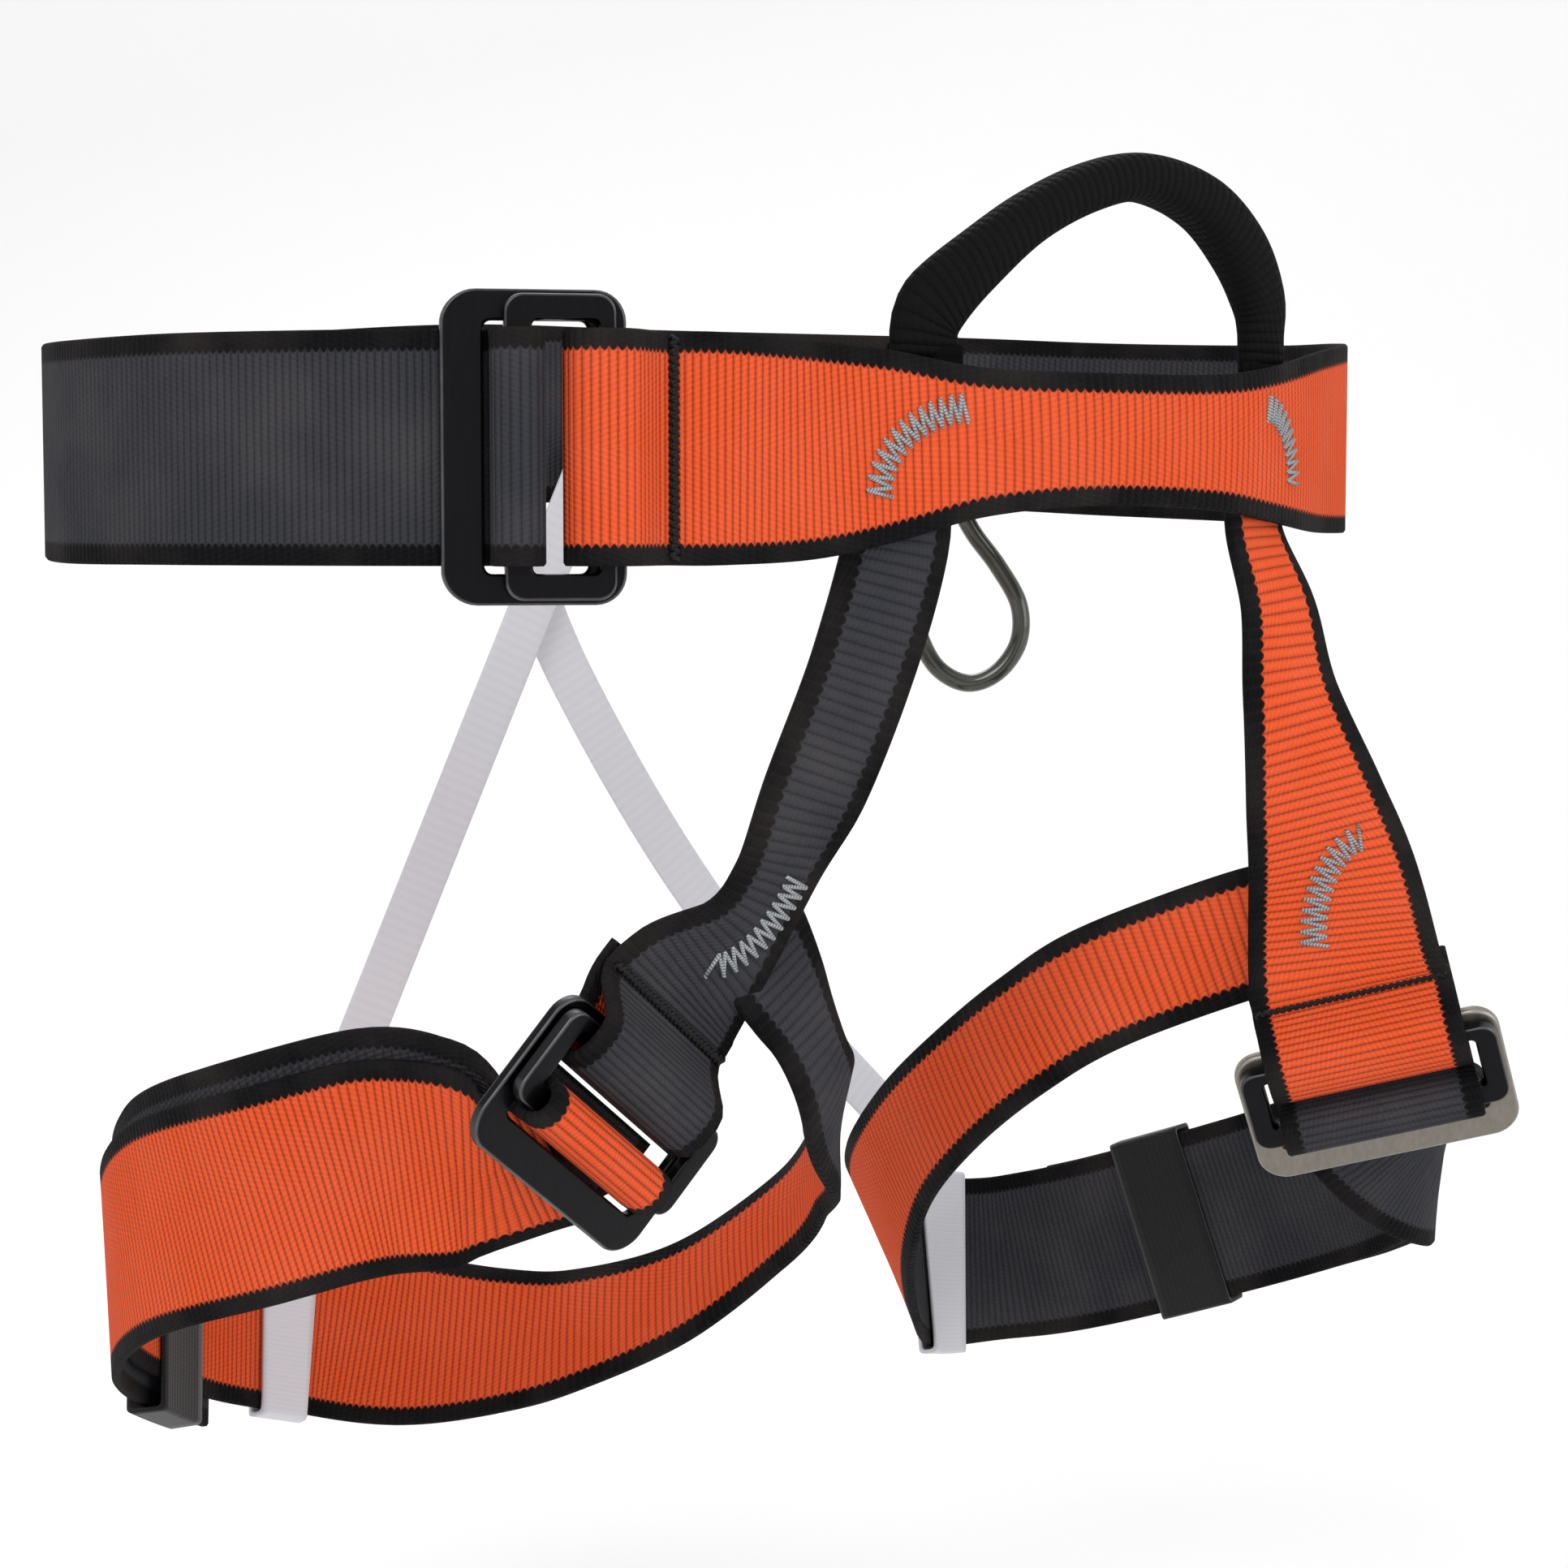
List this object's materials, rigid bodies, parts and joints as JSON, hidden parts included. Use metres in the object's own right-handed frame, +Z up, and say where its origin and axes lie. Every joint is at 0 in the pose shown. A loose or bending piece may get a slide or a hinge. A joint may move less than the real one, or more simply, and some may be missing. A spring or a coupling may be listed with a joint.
{
  "type": "sit harness",
  "caption": "Safety sit harness: two-colour webbing waist belt and leg loops with double-back buckles, a tie-in loop, rear elastics and a gear loop.",
  "frame": {"origin": "centre of the waist ring at the belt's mid height", "axes": "+Z up along the body, -Y the way the wearer faces, +X the wearer's left"},
  "size_m": [0.338, 0.2285, 0.3077],
  "materials": {
    "webbing": "woven, orange outer face, charcoal inner face and near-black borders",
    "webbing_grey_out": "the same webbing with the charcoal face outward",
    "black_webbing": "ribbed black webbing",
    "keeper_elastic": "black elastic",
    "white_elastic": "light grey woven elastic",
    "silver_thread": "dense zigzag thread",
    "black_thread": "zigzag thread",
    "anodised": "black anodised, satin, worn bright at the edges",
    "tube": "glossy dark tube"
  },
  "bodies": {
    "waist": {"waist_belt": "webbing", "waist_tail": "webbing", "waist_sewn_eye": "webbing", "waist_rear_plate": "anodised", "waist_eye_stitch": "black_thread", "right_riser_tab": "webbing_grey_out", "left_riser_tab": "webbing", "right_tie_in_tab": "black_webbing", "left_tie_in_tab": "black_webbing", "gear_loop_front_tab": "black_webbing", "gear_loop_rear_tab": "black_webbing", "right_belt_tack": "silver_thread", "left_belt_tack": "silver_thread", "right_rear_elastic": "white_elastic", "left_rear_elastic": "white_elastic"},
    "waist_frame": {"waist_front_frame": "anodised", "waist_strap_fold": "webbing"},
    "tie_in": {"tie_in_loop": "black_webbing"},
    "gear": {"gear_loop": "tube"},
    "right_leg": {"right_riser": "webbing_grey_out", "right_leg_sewn_eye": "webbing_grey_out", "right_leg_rear_plate": "anodised", "right_leg_strap": "webbing_grey_out", "right_leg_tail": "webbing", "right_elastic_band": "white_elastic", "right_riser_tack": "silver_thread", "right_leg_eye_stitch": "black_thread"},
    "right_leg_frame": {"right_leg_front_frame": "anodised", "right_leg_strap_fold": "webbing"},
    "right_keeper": {"right_leg_keeper": "keeper_elastic"},
    "left_leg": {"left_riser": "webbing", "left_leg_sewn_eye": "webbing", "left_leg_rear_plate": "anodised", "left_leg_strap": "webbing", "left_leg_tail": "webbing", "left_elastic_band": "white_elastic", "left_riser_tack": "silver_thread", "left_leg_eye_stitch": "black_thread"},
    "left_leg_frame": {"left_leg_front_frame": "anodised", "left_leg_strap_fold": "webbing"},
    "left_keeper": {"left_leg_keeper": "keeper_elastic"}
  },
  "joints": [
    {"name": "waist_frame_tilt", "type": "hinge", "parent": "waist", "child": "waist_frame", "pos_m": [-0.0838, -0.0954, 0], "axis": [0, 0, 1], "range_deg": [0, 25]},
    {"name": "right_leg_frame_tilt", "type": "hinge", "parent": "right_leg", "child": "right_leg_frame", "pos_m": [-0.06517, -0.07632, -0.12578], "axis": [-0.7545, -0.3192, 0.5734], "range_deg": [0, 25]},
    {"name": "left_leg_frame_tilt", "type": "hinge", "parent": "left_leg", "child": "left_leg_frame", "pos_m": [0.10598, -0.10021, -0.13257], "axis": [-0.7161, 0.6538, -0.2443], "range_deg": [0, 25]},
    {"name": "tie_in_fold", "type": "hinge", "parent": "waist", "child": "tie_in", "pos_m": [0.04228, -0.08458, 0.023], "axis": [0.9807, 0.1957, 0], "range_deg": [-15, 40]},
    {"name": "gear_loop_swing", "type": "hinge", "parent": "waist", "child": "gear", "pos_m": [0.10941, 0.07301, -0.011], "axis": [0.849, -0.5284, 0], "range_deg": [-5, 60]},
    {"name": "right_leg_swing", "type": "hinge", "parent": "waist", "child": "right_leg", "pos_m": [-0.01893, -0.09735, -0.0207], "axis": [1, 0, 0], "range_deg": [-20, 6], "stiffness_Nm_per_rad": 0.6, "springref_deg": 2.53, "deforming": ["right_rear_elastic"]},
    {"name": "right_keeper_slide", "type": "slide", "parent": "right_leg", "child": "right_keeper", "axis": [-0.6872, -0.5875, 0.4273], "range_m": [-0.003, 0.003]},
    {"name": "left_leg_swing", "type": "hinge", "parent": "waist", "child": "left_leg", "pos_m": [0.08894, -0.08004, -0.0175], "axis": [1, 0, 0], "range_deg": [-20, 6], "stiffness_Nm_per_rad": 0.6, "springref_deg": 0.81, "deforming": ["left_rear_elastic"]},
    {"name": "left_keeper_slide", "type": "slide", "parent": "left_leg", "child": "left_keeper", "axis": [0.4609, -0.822, 0.3345], "range_m": [-0.003, 0.003]}
  ]
}
